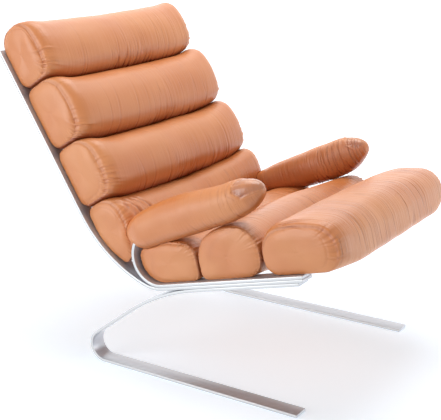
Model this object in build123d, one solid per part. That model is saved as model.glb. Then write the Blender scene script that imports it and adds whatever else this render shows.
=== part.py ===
from build123d import *

import math
import os

# Cantilever lounge chair: three flat spring-steel strips a side carry seven leather rolls
# and two arm sleeves. X runs across the chair (the sitter's left is +X), Y to the rear, Z up.
# Lengths are millimetres and angles are degrees.

# ---------------------------------------------------------------- steel strips
FRAME_WIDTH = 650.0  # outer edge of one strip to outer edge of the other
STRIP_WIDTH = 46.0
STRIP_THICKNESS = 8.0
SEAT_RISE = 14.4  # the seat climbs this much towards the front

REAR_BEND_RADIUS = 41.0  # middle of the strip's thickness, as all strip radii here
LEG_RUN = 141.0  # straight slope above the rear bend
LEG_BEND_RADIUS = 571.0
LEG_BEND_TURN = 22.7
BASE_SEAT_RUN = 294.0  # base strip's straight part under the seat
RUNNER_LEAD = 2.0789  # runner's front end ahead of the base strip's end under the seat

SEAT_FRONT_REACH = 306.0  # seat strips' front ends, forward of where the leg bend ends
SEAT_REAR_REACH = 98.0  # seat strips stay straight this far behind the same point

LOW_BACK_RADIUS = 104.0
LOW_BACK_TURN = 32.0
HIGH_BACK_RADIUS = 364.0
BACK_LEAN = 32.6  # straight upper back, from upright
BACK_RUN = 473.0  # straight upper back

ARM_BEND_RADIUS = 70.0
ARM_RISE = 25.0  # arm above level, towards the front
ARM_RUN = 318.0  # straight part inside the sleeve

KNUCKLE_GAP = 0.1  # radial play at the line where the base strip flexes

# ---------------------------------------------------------------- floor glides
GLIDE_THICKNESS = 1.5
GLIDE_RADIUS = 13.0
GLIDE_FRONT_INSET = 40.0  # glide centre to the runner's front end
GLIDE_REAR_INSET = 30.0  # glide centre to the start of the rear bend

# ---------------------------------------------------------------- rolls
ROLL_INSET = 15.0  # end seam inside the frame's outer edge
ROLL_HALF_LENGTH = FRAME_WIDTH / 2 - ROLL_INSET
ROLL_END_BULGE = 7.0  # end panel beyond its seam
ROLL_END_INSET = 24.0  # flat middle of the end panel, inside the seam
ROLL_SHOULDER = 34.0  # the roll draws in to its seam over this length
SHOULDER_SHARES = (0.0, 0.4, 0.7, 0.9, 1.0)  # sections along the shoulder
ROLL_GAP = 0.8  # between two rolls that press on each other
SEAT_CONTACT = 0.2  # leather to steel
LEATHER = 1.6
FOAM_GAP = 0.3

# Back rolls from the top down, by their distance below the back strip's top end. Each row is
# the upper edge, the lower edge and the depth at each, then how far the front and the two
# edges draw in at the seams.
BACK_ROLLS = {
    "head_roll": (-42.0, 123.0, 120.0, 122.0, 22.0, 5.0, 5.0),
    "upper_back_roll": (123.0, 299.0, 128.0, 128.0, 24.0, 5.0, 5.0),
    "middle_back_roll": (299.0, 465.0, 128.0, 126.0, 22.0, 5.0, 5.0),
    "lumbar_roll": (465.0, 648.0, 114.0, 54.0, 14.0, 5.0, 2.0),
}
# Seat rolls, by their distance forward of where the leg bend ends: the rear edge, the front
# edge, the depth at each, and the draw of the top and of the two edges.
SEAT_ROLLS = {
    "rear_seat_roll": (-159.5, 16.0, 84.0, 87.0, 0.0, 5.0, 5.0),
    "middle_seat_roll": (16.0, 200.0, 114.0, 115.0, 0.0, 5.0, 5.0),
    "front_seat_roll": (200.0, 408.0, 120.0, 112.0, 12.0, 5.0, 20.0),
}
# Corner radii of a roll's outline: on the strips at the lower or rear edge, on the strips at the
# upper or front edge, and outside at the upper or front edge and at the other one.
ROLL_CORNERS = {
    "head_roll": (24.0, 44.0, 56.0, 44.0),
    "upper_back_roll": (24.0, 24.0, 56.0, 46.0),
    "middle_back_roll": (24.0, 24.0, 56.0, 46.0),
    "lumbar_roll": (22.0, 22.0, 52.0, 22.0),
    "rear_seat_roll": (62.0, 30.0, 38.0, 14.0),
    "middle_seat_roll": (34.0, 42.0, 54.0, 54.0),
    "front_seat_roll": (36.0, 46.0, 56.0, 54.0),
}
ROLL_CROWN = 16.0  # the middle of the front stands this far beyond its corners
SEAM_CROWN = 9.0  # the same at the end seams
CROWN_RADIUS = 150.0
SMALLEST_CORNER = 5.0
CORNER_SHARE = 0.94  # two neighbouring corners take at most this share of their side
END_SECTIONS = ((0.6, 0.35), (1.0, 1.0))  # shares of the end bulge and of the end inset

# ---------------------------------------------------------------- slats and bolts
SLAT_WIDTH = 40.0
SLAT_THICKNESS = 4.0
SLAT_INSET = 29.0  # slat's end inside the frame's outer edge
SLAT_HALF_LENGTH = FRAME_WIDTH / 2 - SLAT_INSET
BOLT_INSET = 10.0  # bolt line outside the strip's inner edge
BACK_BOLT_RADIUS = 3.0
SEAT_BOLT_RADIUS = 4.0
BOLT_PLAY = 0.3
THREAD_PLAY = 0.05
HEAD_HEIGHT = 3.3
HEAD_RADIUS_RATIO = 1.75
HEAD_ROUNDING = 0.6  # share of the head's height
SOCKET_RATIO = 0.6  # hexagon key's place, as a share of the bolt's radius
BOLT_TIP = 1.0  # a bolt ends this far beyond its slat
SLAT_PLAY = 0.3  # slat to the leather under it
# Each seat roll's slat: its distance forward of where the leg bend ends, and how many strips
# its bolts pass.
SEAT_SLATS = {
    "rear_seat_roll": (-74.0, 2),
    "middle_seat_roll": (108.0, 3),
    "front_seat_roll": (262.0, 3),
}
SLAT_TOP_INSET = 36.0  # no slat is nearer the back strip's top end

# ---------------------------------------------------------------- arm sleeves
ARM_INSET = 29.0  # sleeve's middle line inside the frame's outer edge
ARM_CENTRE = FRAME_WIDTH / 2 - ARM_INSET
ARM_BEHIND = 57.0  # sleeve behind the start of the arm strip's straight part
ARM_BEYOND = 24.0  # sleeve beyond the arm strip's front end
ARM_WIDTH = 90.0
ARM_HEIGHT = 94.0
ARM_LIFT = 7.5  # the sleeve's middle above the strip's
ARM_CORNER = 40.0
ARM_CORNER_SHARE = 0.92  # a corner's radius is at most this share of the smaller half size
ARM_STRIP_GAP = 0.3
# Sections along the sleeve: share of its length, and share of its full width and height.
ARM_SECTIONS = (
    (0.0, 0.55, 0.48),
    (0.03, 0.76, 0.72),
    (0.09, 0.92, 0.91),
    (0.2, 1.0, 1.0),
    (0.5, 1.0, 1.0),
    (0.75, 0.98, 0.97),
    (0.88, 0.88, 0.82),
    (0.96, 0.68, 0.58),
    (1.0, 0.42, 0.34),
)

SIDES = {"left": 1, "right": -1}
STRIP_INNER = FRAME_WIDTH / 2 - STRIP_WIDTH
BOLT_LINE = STRIP_INNER + BOLT_INSET


# ---------------------------------------------------------------- side-view geometry
def direction(heading):
    """Unit vector (y, z) of a heading, where 0 points to the rear and 90 up."""
    return math.cos(math.radians(heading)), math.sin(math.radians(heading))


def move(point, heading, distance):
    """Point at a distance along a heading."""
    dy, dz = direction(heading)
    return point[0] + dy * distance, point[1] + dz * distance


def vec(point, x=0.0):
    """A side-view point as a vector in space."""
    return Vector(x, point[0], point[1])


class Track:
    """Side-view line of straight runs (length,) and left-hand bends (radius, turn)."""

    def __init__(self, start, heading, steps):
        self.pieces = []
        point = start
        for step in steps:
            self.pieces.append((point, heading, step))
            if len(step) == 1:
                point = move(point, heading, step[0])
            else:
                centre = move(point, heading + 90, step[0])
                heading = heading + step[1]
                point = move(centre, heading - 90, step[0])
        self.end = point
        self.end_heading = heading

    def length(self, first, last):
        """Length of the steps from number first up to, not including, number last."""
        total = 0.0
        for _, _, step in self.pieces[first:last]:
            if len(step) == 1:
                total += step[0]
            else:
                total += step[0] * math.radians(step[1])
        return total

    def at(self, distance, offset=0.0):
        """Point and heading at a distance from the start, moved to the left by offset."""
        for point, heading, step in self.pieces:
            last = (point, heading, step) == self.pieces[-1]
            if len(step) == 1:
                if distance <= step[0] or last:
                    return move(move(point, heading, distance), heading + 90, offset), heading
                distance -= step[0]
            else:
                span = step[0] * math.radians(step[1])
                if distance <= span or last:
                    turned = heading + math.degrees(distance / step[0])
                    centre = move(point, heading + 90, step[0])
                    return move(centre, turned - 90, step[0] - offset), turned
                distance -= span
        return None

    def edges(self, offset):
        """Edges of the line that runs at offset to the left."""
        made = []
        for point, heading, step in self.pieces:
            begin = move(point, heading + 90, offset)
            if len(step) == 1:
                made.append(Edge.make_line(vec(begin), vec(move(begin, heading, step[0]))))
                continue
            centre = move(point, heading + 90, step[0])
            radius = step[0] - offset
            middle = move(centre, heading + step[1] / 2 - 90, radius)
            finish = move(centre, heading + step[1] - 90, radius)
            made.append(Edge.make_three_point_arc(vec(begin), vec(middle), vec(finish)))
        return made


def strip(track, side, round_start=False, gap=0.0):
    """Flat strip along a track; round_start gives its first end a half-round nose."""
    half = STRIP_THICKNESS / 2 + gap
    start, heading, _ = track.pieces[0]
    corners = [vec(move(start, heading + turn, half)) for turn in (-90, -135, 180, 135, 90)]
    end_left = vec(move(track.end, track.end_heading + 90, half))
    end_right = vec(move(track.end, track.end_heading - 90, half))
    outline = track.edges(half) + track.edges(-half) + [Edge.make_line(end_left, end_right)]
    if round_start:
        outline.append(Edge.make_three_point_arc(*corners[0:3]))
        outline.append(Edge.make_three_point_arc(*corners[2:5]))
    else:
        outline.append(Edge.make_line(corners[0], corners[4]))
    width = STRIP_WIDTH + 2 * gap
    solid = extrude(Face(Wire(outline)), amount=width / 2, dir=(1, 0, 0), both=True)
    return Pos(side * (FRAME_WIDTH - STRIP_WIDTH) / 2, 0, 0) * solid


def rod(x, point, heading, radius, start, finish):
    """Cylinder across a strip: its axis passes a side-view point along a heading."""
    base = move(point, heading, start)
    dy, dz = direction(heading)
    plane = Plane(origin=vec(base, x), x_dir=(1, 0, 0), z_dir=(0, dy, dz))
    return plane * Cylinder(radius, finish - start, align=(Align.CENTER, Align.CENTER, Align.MIN))


# ---------------------------------------------------------------- tracks of the three strips
RUNNER_HEIGHT = GLIDE_THICKNESS + STRIP_THICKNESS / 2
HINGE = (REAR_BEND_RADIUS, RUNNER_HEIGHT + REAR_BEND_RADIUS)
LEG_TURN = 180 - SEAT_RISE - LEG_BEND_TURN - 90
SPRING = Track(
    HINGE,
    90,
    [
        (REAR_BEND_RADIUS, LEG_TURN),
        (LEG_RUN,),
        (LEG_BEND_RADIUS, LEG_BEND_TURN),
        (BASE_SEAT_RUN,),
    ],
)
RUNNER_LENGTH = RUNNER_LEAD - SPRING.end[0]  # straight part, up to the rear bend at zero
RUNNER_START = (-RUNNER_LENGTH, RUNNER_HEIGHT)
RUNNER = Track(RUNNER_START, 0, [(RUNNER_LENGTH,), (REAR_BEND_RADIUS, 90.0)])
FORWARD = 180 - SEAT_RISE  # heading of the seat towards its front
UPWARD = FORWARD - 90  # square to the seat
REARWARD = -SEAT_RISE
SEAT_MARK = SPRING.pieces[3][0]  # where the leg bend ends, mid-thickness of the base strip
SEAT_RUN = SEAT_FRONT_REACH + SEAT_REAR_REACH


def seat_point(forward, layers):
    """Point on the seat, forward of the mark and a number of strip thicknesses above it."""
    return move(move(SEAT_MARK, FORWARD, forward), UPWARD, layers * STRIP_THICKNESS)


BACK = Track(
    seat_point(SEAT_FRONT_REACH, 1),
    REARWARD,
    [
        (SEAT_RUN,),
        (LOW_BACK_RADIUS, LOW_BACK_TURN),
        (HIGH_BACK_RADIUS, 90 - BACK_LEAN + SEAT_RISE - LOW_BACK_TURN),
        (BACK_RUN,),
    ],
)
ARM = Track(
    seat_point(SEAT_FRONT_REACH, 2),
    REARWARD,
    [(SEAT_RUN,), (ARM_BEND_RADIUS, 180 - ARM_RISE + SEAT_RISE), (ARM_RUN,)],
)
ARM_CAVITY = Track(
    seat_point(SEAT_FRONT_REACH, 2),
    REARWARD,
    [(SEAT_RUN,), (ARM_BEND_RADIUS, 180 - ARM_RISE + SEAT_RISE), (ARM_RUN + ARM_STRIP_GAP,)],
)
BACK_LENGTH = BACK.length(0, 4)


def back_place(below_top, lift=0.0):
    """Point on the back strip's front face below its top end, and the heading out of it."""
    point, heading = BACK.at(BACK_LENGTH - below_top, STRIP_THICKNESS / 2 + lift)
    return point, heading + 90


def seat_place(forward, lift=0.0):
    """Point on the seat's top face, and the heading out of it."""
    return move(seat_point(forward, 2.5), UPWARD, lift), UPWARD


# ---------------------------------------------------------------- cushions
def inset_polygon(points, distance):
    """Convex polygon with every side moved inwards; points run clockwise or anticlockwise."""
    area = 0.0
    count = len(points)
    for i in range(count):
        (y0, z0), (y1, z1) = points[i - 1], points[i]
        area += y0 * z1 - y1 * z0
    turn = 90 if area > 0 else -90
    lines = []
    for i in range(count):
        (y0, z0), (y1, z1) = points[i], points[(i + 1) % count]
        heading = math.degrees(math.atan2(z1 - z0, y1 - y0))
        lines.append((move(points[i], heading + turn, distance), direction(heading)))
    moved = []
    for i in range(count):
        (py, pz), (ay, az) = lines[i - 1]
        (qy, qz), (by, bz) = lines[i]
        along = ((qy - py) * bz - (qz - pz) * by) / (ay * bz - az * by)
        moved.append((py + along * ay, pz + along * az))
    return moved


def soft_outline(points, radii, place, sag=0.0):
    """Wire round a convex polygon with its corners rounded.

    place turns a side-view point into a vector, and sag bows the first side outwards. Where
    two corners meet on a short side, both get smaller.
    """
    count = len(points)
    corners = []
    for i in range(count):
        before, corner, after = points[i - 1], points[i], points[(i + 1) % count]
        to_before = math.degrees(math.atan2(before[1] - corner[1], before[0] - corner[0]))
        to_after = math.degrees(math.atan2(after[1] - corner[1], after[0] - corner[0]))
        opening = (to_after - to_before + 180) % 360 - 180
        reach = radii[i] / math.tan(math.radians(abs(opening) / 2))
        corners.append((to_before, opening, reach))
    room = []
    for i in range(count):
        side = math.dist(points[i], points[(i + 1) % count])
        room.append(CORNER_SHARE * side / (corners[i][2] + corners[(i + 1) % count][2]))
    arcs = []
    for i, (to_before, opening, reach) in enumerate(corners):
        share = min(1.0, room[i - 1], room[i])
        depth = share * radii[i] * (1 / math.sin(math.radians(abs(opening) / 2)) - 1)
        begin = move(points[i], to_before, share * reach)
        middle = move(points[i], to_before + opening / 2, depth)
        finish = move(points[i], to_before + opening, share * reach)
        arcs.append((begin, middle, finish))
    edges = []
    for i in range(count):
        begin, middle, finish = arcs[i]
        onward = arcs[(i + 1) % count][0]
        edges.append(Edge.make_three_point_arc(place(begin), place(middle), place(finish)))
        if i == 0 and sag > 0:
            halfway = ((finish[0] + onward[0]) / 2, (finish[1] + onward[1]) / 2)
            run = math.degrees(math.atan2(onward[1] - finish[1], onward[0] - finish[0]))
            bowed = move(halfway, run - 90, sag)
            edges.append(Edge.make_three_point_arc(place(finish), place(bowed), place(onward)))
        else:
            edges.append(Edge.make_line(place(finish), place(onward)))
    return Wire(edges)


class Roll:
    """One roll: its edges on the strips, its depths and draws, and where its slat lies."""

    def __init__(self, place, edges, depths, draws, radii, slat_at, grip):
        low, high = edges
        self.low, self.high = place(low, SEAT_CONTACT), place(high, SEAT_CONTACT)
        self.depths = depths
        self.draws = draws  # of the front, the low edge and the high edge
        self.radii = radii
        self.grip = grip
        (low_y, low_z), (high_y, high_z) = self.low[0], self.high[0]
        face_y, face_z = place((low + high) / 2, SEAT_CONTACT)[0]
        self.sag = math.hypot(face_y - (low_y + high_y) / 2, face_z - (low_z + high_z) / 2)
        if self.sag < 0.05:
            self.sag = 0.0
        chord = math.hypot(high_y - low_y, high_z - low_z) - radii[0] - radii[1]
        self.slat_face, self.slat_out = place(slat_at)
        self.lift = SEAT_CONTACT + LEATHER + SLAT_PLAY + self.sag * (SLAT_WIDTH / chord) ** 2


def roll_polygon(roll, share):
    """Five corners of a roll's outline: band side low and high, front high, crown, front low."""
    (low_point, low_out), (high_point, high_out) = roll.low, roll.high
    front_draw, low_draw, high_draw = roll.draws
    run = math.degrees(math.atan2(high_point[1] - low_point[1], high_point[0] - low_point[0]))
    back_low = move(low_point, run, ROLL_GAP / 2 + low_draw * share)
    back_high = move(high_point, run, -ROLL_GAP / 2 - high_draw * share)
    front_low = move(back_low, low_out, roll.depths[0] - front_draw * share)
    front_high = move(back_high, high_out, roll.depths[1] - front_draw * share)
    middle = ((front_low[0] + front_high[0]) / 2, (front_low[1] + front_high[1]) / 2)
    crown = move(middle, (low_out + high_out) / 2, ROLL_CROWN + (SEAM_CROWN - ROLL_CROWN) * share)
    return [back_low, back_high, front_high, crown, front_low]


def roll_stations(skin):
    """Places along half a roll from its middle to its seam, with the share of the draw there."""
    seam = ROLL_HALF_LENGTH - skin
    places = [(0.0, 0.0)]
    for along in SHOULDER_SHARES:
        places.append((seam - ROLL_SHOULDER * (1 - along), 1 - math.sqrt(1 - along**2)))
    return places


def roll_solid(roll, skin):
    """Roll lofted from end to end, with its surface moved inwards by skin."""
    corner_radii = [roll.radii[0], roll.radii[1], roll.radii[2], CROWN_RADIUS, roll.radii[3]]
    half = []
    for x, share in roll_stations(skin):
        points = roll_polygon(roll, share)
        half.append((x, inset_polygon(points, skin), corner_radii))
    seam = half[-1][1]
    for bulge, inset in END_SECTIONS:
        points = inset_polygon(seam, ROLL_END_INSET * inset)
        smaller = [max(radius - ROLL_END_INSET * inset, SMALLEST_CORNER) for radius in corner_radii]
        half.append((ROLL_HALF_LENGTH + ROLL_END_BULGE * bulge - skin, points, smaller))
    wires = []
    for x, points, corners in [(-x, p, r) for x, p, r in reversed(half[1:])] + half:
        kept = [max(radius - skin, SMALLEST_CORNER) for radius in corners]
        wires.append(soft_outline(points, kept, lambda point, x=x: vec(point, x), roll.sag))
    return Solid.make_loft(wires, ruled=True)


def slat_solid(roll, gap=0.0):
    """Flat steel slat inside a roll, across both strips."""
    dy, dz = direction(roll.slat_out)
    base = move(roll.slat_face, roll.slat_out, roll.lift - gap)
    plane = Plane(origin=vec(base), x_dir=(1, 0, 0), z_dir=(0, dy, dz))
    size = (2 * (SLAT_HALF_LENGTH + gap), SLAT_WIDTH + 2 * gap, SLAT_THICKNESS + 2 * gap)
    return plane * Box(*size, align=(Align.CENTER, Align.CENTER, Align.MIN))


def roll_rod(roll, side, radius, start, finish):
    """Cylinder on a roll's bolt line; distances are from the face that the roll lies on."""
    return rod(side * BOLT_LINE, roll.slat_face, roll.slat_out, radius, start, finish)


def bolt_solid(roll, side, radius):
    """Button-head bolt that passes the steel from behind and screws into the slat."""
    head = roll_rod(roll, side, radius * HEAD_RADIUS_RATIO, -roll.grip - HEAD_HEIGHT, -roll.grip)
    outward = Axis(vec(roll.slat_face), vec(direction(roll.slat_out)))
    rim = head.edges().filter_by(GeomType.CIRCLE).sort_by(outward)[0]
    head = fillet(rim, HEAD_HEIGHT * HEAD_ROUNDING)
    socket = roll_rod(
        roll, side, radius * SOCKET_RATIO, -roll.grip - HEAD_HEIGHT, -roll.grip - HEAD_HEIGHT / 2
    )
    shank = roll_rod(roll, side, radius, -roll.grip, roll.lift + SLAT_THICKNESS + BOLT_TIP)
    return head + shank - socket


def sleeve_solid(side, skin):
    """Arm sleeve lofted along the arm, with its surface moved inwards by skin."""
    start, heading = ARM.pieces[2][0], ARM.end_heading
    length = ARM_BEHIND + ARM_RUN + ARM_BEYOND - 2 * skin
    rear = move(move(start, heading, skin - ARM_BEHIND), heading - 90, ARM_LIFT)
    wires = []
    for share, wide, high in ARM_SECTIONS:
        centre = vec(move(rear, heading, length * share), side * ARM_CENTRE)
        half_width = ARM_WIDTH * wide / 2 - skin
        half_height = ARM_HEIGHT * high / 2 - skin
        corner = min(ARM_CORNER * wide, ARM_CORNER_SHARE * min(half_width, half_height))
        outline = [
            (-half_width, -half_height),
            (half_width, -half_height),
            (half_width, half_height),
            (-half_width, half_height),
        ]
        up = vec(direction(heading - 90))
        wires.append(
            soft_outline(
                outline, [corner] * 4, lambda p, c=centre: c + Vector(p[0], 0, 0) + up * p[1]
            )
        )
    return Solid.make_loft(wires, ruled=True)


# ---------------------------------------------------------------- the pieces
def rolls():
    """All seven rolls by name, from the top of the back to the front of the seat."""
    made = {}
    for name, (upper, lower, *depths, front_draw, upper_draw, lower_draw) in BACK_ROLLS.items():
        slat_at = max((upper + lower) / 2, SLAT_TOP_INSET)
        draws = (front_draw, lower_draw, upper_draw)
        corners = ROLL_CORNERS[name]
        made[name] = Roll(
            back_place, (lower, upper), depths[::-1], draws, corners, slat_at, STRIP_THICKNESS
        )
    for name, (rear, fore, *depths, front_draw, rear_draw, fore_draw) in SEAT_ROLLS.items():
        draws = (front_draw, rear_draw, fore_draw)
        slat_at, layers = SEAT_SLATS[name]
        grip = layers * STRIP_THICKNESS
        made[name] = Roll(
            seat_place, (rear, fore), depths, draws, ROLL_CORNERS[name], slat_at, grip
        )
    return made


def group(solids):
    """Several separate solids as one node."""
    return Compound(children=[solid for part in solids for solid in part.solids()])


def build():
    """Every node by name."""
    nodes = {}
    all_rolls = rolls()
    seat_names = list(SEAT_ROLLS)

    def radius_of(name):
        return SEAT_BOLT_RADIUS if name in seat_names else BACK_BOLT_RADIUS

    for side_name, side in SIDES.items():
        holes = {
            name: roll_rod(roll, side, radius_of(name) + BOLT_PLAY, -roll.grip - 1, roll.lift)
            for name, roll in all_rolls.items()
        }
        seat_holes = [holes[name] for name in seat_names]
        back_holes = [holes[name] for name in BACK_ROLLS]
        socket = Pos(side * (FRAME_WIDTH - STRIP_WIDTH) / 2, HINGE[0], HINGE[1]) * (
            Rot(0, 90, 0) * Cylinder(STRIP_THICKNESS / 2 + KNUCKLE_GAP, STRIP_WIDTH + 2)
        )
        runner = strip(RUNNER, side) - socket
        glides = []
        for y in (RUNNER_START[0] + GLIDE_FRONT_INSET, -GLIDE_REAR_INSET):
            x = side * (FRAME_WIDTH - STRIP_WIDTH) / 2
            glides.append(rod(x, (y, 0.0), 90, GLIDE_RADIUS, 0, GLIDE_THICKNESS))
        nodes[f"base_runner_{side_name}"] = runner
        nodes[f"floor_glides_{side_name}"] = group(glides)
        nodes[f"base_spring_{side_name}"] = strip(SPRING, side, round_start=True) - seat_holes[1:]
        nodes[f"back_strip_{side_name}"] = strip(BACK, side) - seat_holes - back_holes
        nodes[f"arm_strip_{side_name}"] = strip(ARM, side) - seat_holes
        nodes[f"back_bolts_{side_name}"] = group(
            bolt_solid(all_rolls[name], side, BACK_BOLT_RADIUS) for name in BACK_ROLLS
        )
        nodes[f"seat_bolts_{side_name}"] = group(
            bolt_solid(all_rolls[name], side, SEAT_BOLT_RADIUS) for name in seat_names
        )
        cavity = strip(ARM_CAVITY, side, gap=ARM_STRIP_GAP)
        inner = sleeve_solid(side, LEATHER)
        nodes[f"arm_sleeve_cover_{side_name}"] = sleeve_solid(side, 0.0) - inner - cavity
        nodes[f"arm_sleeve_foam_{side_name}"] = sleeve_solid(side, LEATHER + FOAM_GAP) - cavity

    for name, roll in all_rolls.items():
        radius = radius_of(name)
        slat_top = roll.lift + SLAT_THICKNESS
        holes = [
            roll_rod(roll, side, radius + BOLT_PLAY, -1, slat_top + BOLT_TIP + 1)
            for side in SIDES.values()
        ]
        threads = [
            roll_rod(roll, side, radius + THREAD_PLAY, roll.lift - 1, slat_top + 1)
            for side in SIDES.values()
        ]
        nodes[f"{name}_slat"] = slat_solid(roll) - threads
        nodes[f"{name}_cover"] = roll_solid(roll, 0.0) - roll_solid(roll, LEATHER) - holes
        foam = roll_solid(roll, LEATHER + FOAM_GAP)
        nodes[f"{name}_foam"] = foam - slat_solid(roll, FOAM_GAP) - holes
    return nodes


def main():
    """Writes every node to parts, with the origin under the middle of the chair's box."""
    nodes = build()
    box = Compound(children=[solid for node in nodes.values() for solid in node.solids()])
    bounds = box.bounding_box()
    shift = -(bounds.min.Y + bounds.max.Y) / 2
    os.makedirs("parts", exist_ok=True)
    for name, node in nodes.items():
        export_step(Pos(0, shift, 0) * node, f"parts/{name}.step")
    print(f"box {bounds.size}, y shift {shift:.4f}, low z {bounds.min.Z:.4f}")
    print(f"hinge y {HINGE[0] + shift:.4f}, z {HINGE[1]:.4f}")


if __name__ == "__main__":
    main()
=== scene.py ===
"""Cantilever lounge chair: satin spring-steel strips, seven leather rolls and two arm sleeves."""

import math

import bpy
import numpy as np
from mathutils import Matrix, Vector


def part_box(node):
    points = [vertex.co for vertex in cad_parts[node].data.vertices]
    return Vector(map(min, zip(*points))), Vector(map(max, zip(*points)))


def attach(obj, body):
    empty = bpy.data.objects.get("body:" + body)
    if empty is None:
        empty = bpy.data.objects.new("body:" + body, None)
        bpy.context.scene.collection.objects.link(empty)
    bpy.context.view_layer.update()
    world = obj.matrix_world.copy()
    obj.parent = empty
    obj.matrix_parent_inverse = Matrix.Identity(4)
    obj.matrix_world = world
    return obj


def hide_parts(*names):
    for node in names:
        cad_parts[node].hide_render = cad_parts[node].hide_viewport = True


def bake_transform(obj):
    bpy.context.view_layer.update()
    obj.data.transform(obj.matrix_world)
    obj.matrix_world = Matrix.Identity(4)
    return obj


bl_info = {
    "name": "Cantilever Lounge Chair",
    "version": (1, 0, 0),
    "blender": (4, 5, 0),
    "location": "View3D > Sidebar > Lounge Chair",
    "description": "Models the strips, leather rolls and arm sleeves of a cantilever lounge chair",
    "category": "Add Mesh",
}

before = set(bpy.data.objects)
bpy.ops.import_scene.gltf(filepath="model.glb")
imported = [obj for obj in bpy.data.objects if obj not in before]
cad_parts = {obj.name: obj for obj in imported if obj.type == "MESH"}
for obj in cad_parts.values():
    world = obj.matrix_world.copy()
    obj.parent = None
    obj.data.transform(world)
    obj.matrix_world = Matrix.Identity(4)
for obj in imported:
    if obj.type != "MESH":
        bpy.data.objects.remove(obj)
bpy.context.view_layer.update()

MM = 0.001
SIDES = {"left": 1, "right": -1}
SEAT_BODY = "sprung_seat"

# Each roll in millimetres: its low (or rear) and high (or front) edge along the strips, how far
# each edge sags in the middle, the depth at each edge, how much deeper each is at the far end,
# how far the front and both edges draw in at the seams, the crown at the front and at the seam,
# and the corner radii: on the strips at the low and high edge, then outside at the high and low.
ROLLS = {
    "head_roll": {
        "edges": (123, -38), "sags": (17, 9), "depths": (120, 118), "far": (9, 9),
        "draws": (22, 5, 3), "crowns": (16, 9), "corners": (24, 62, 54, 42),
    },
    "upper_back_roll": {
        "edges": (299, 123), "sags": (18, 17), "depths": (127, 127), "far": (13, 13),
        "draws": (24, 5, 5), "crowns": (16, 9), "corners": (24, 24, 56, 44),
    },
    "middle_back_roll": {
        "edges": (465, 299), "sags": (20, 18), "depths": (126, 127), "far": (12, 12),
        "draws": (22, 5, 5), "crowns": (16, 9), "corners": (24, 24, 56, 44),
    },
    "lumbar_roll": {
        "edges": (657, 465), "sags": (0, 20), "depths": (58, 113), "far": (30, 30),
        "draws": (14, 0, 5), "crowns": (16, 9), "corners": (16, 22, 52, 22),
    },
    "rear_seat_roll": {
        "edges": (-159.5, 16), "sags": (0, 0), "depths": (88, 91), "far": (2, 9),
        "draws": (0, 5, 5), "crowns": (15, 11), "corners": (62, 16, 32, 20),
    },
    "middle_seat_roll": {
        "edges": (16, 200), "sags": (0, 0), "depths": (102, 118), "far": (-30, 3),
        "draws": (0, 5, 5), "crowns": (16, 14), "corners": (18, 44, 64, 72),
    },
    "front_seat_roll": {
        "edges": (200, 408), "sags": (0, -12), "depths": (111, 107), "far": (-3, -3),
        "draws": (9, 5, 9), "crowns": (16, 11), "corners": (36, 44, 58, 62),
    },
}
CROWN_RADIUS = 0.15  # rounds the ridge of a roll's crown
BACK_CORNERS = 0.45  # share of a roll's corner radii on the strips, away from its ends
SAG_SHAPE = 6  # the higher, the flatter a sag's middle and the steeper its ends
FAR_DRAW = 0.5  # share of the front's draw at a roll's far end
# Each arm sleeve in millimetres, along the arm's straight part and off its strip: the points
# where its size is given, its underside, its top and half its width there, the height of its
# rear and front tips, and how long its underside and top take to round off at each end.
SLEEVES = {
    "right": {
        "spots": (-74, 0, 70, 140, 240, 357), "under": (-40, -42, -44, -45, -46, -44),
        "top": (46, 53, 60, 57, 45, 45), "half_width": (41, 44, 45, 45, 44, 42),
        "tips": (12, 5), "rear_rounds": (56, 72), "front_rounds": (120, 84),
    },
    "left": {
        "spots": (-66, 0, 70, 140, 250, 335), "under": (-38, -38, -49, -58, -61, -57),
        "top": (34, 37, 40, 42, 43, 39), "half_width": (41, 44, 45, 45, 44, 42),
        "tips": (8, -3), "rear_rounds": (46, 64), "front_rounds": (120, 84),
    },
}
WIDTH_ROUNDS = (70, 120)  # how long a sleeve's width takes to round off at its rear and front
SLEEVE_SQUARENESS = 2.2
SLEEVE_AROUND = 180  # points round a sleeve
SLEEVE_RINGS = 250
SLEEVE_GIRTH = 0.29  # about the way round a sleeve, for its folds
EASE_SPOTS, EASE = 121, 12  # points on an eased curve, and how many each way it is smoothed over
# The cap seam's groove, its piping and the groove behind it: height, place behind the seam, width.
CAP_LINES = ((-0.0013, 0, 0.0022), (0.0009, 0.0055, 0.003), (-0.0006, 0.014, 0.003))
# Which way the arm sleeves press a roll in.
PRESSED = {
    "lumbar_roll": (0, 0.95, -0.3), "rear_seat_roll": (0, 0, -1),
    "middle_seat_roll": (0, 0, -1), "front_seat_roll": (0, 0, -1),
}
PRESS_GAP = 0.0008  # leather of a pressed roll to the sleeve's
BACK_ROLLS = ("head_roll", "upper_back_roll", "middle_back_roll", "lumbar_roll")
# How wrinkled the seat rolls' leather is. A back roll's wrinkles differ from place to place.
SEAT_WRINKLES = {"rear_seat_roll": 0.8, "middle_seat_roll": 0.8, "front_seat_roll": 1.0}
# How deep a roll's gathers are at its end seams, where it isn't the usual depth.
GATHERS = {"middle_back_roll": 0.0024, "front_seat_roll": 0.0009}
USUAL_GATHERS = 0.0017
# Rings of an end panel, as shares of the way from its seam to its middle.
PANEL_RINGS = (0.03, 0.07, 0.12, 0.19, 0.28, 0.39, 0.52, 0.66, 0.8, 0.92)
PANEL = len(PANEL_RINGS)
PANEL_REACH = 0.06  # from an end panel's seam to its middle
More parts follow.
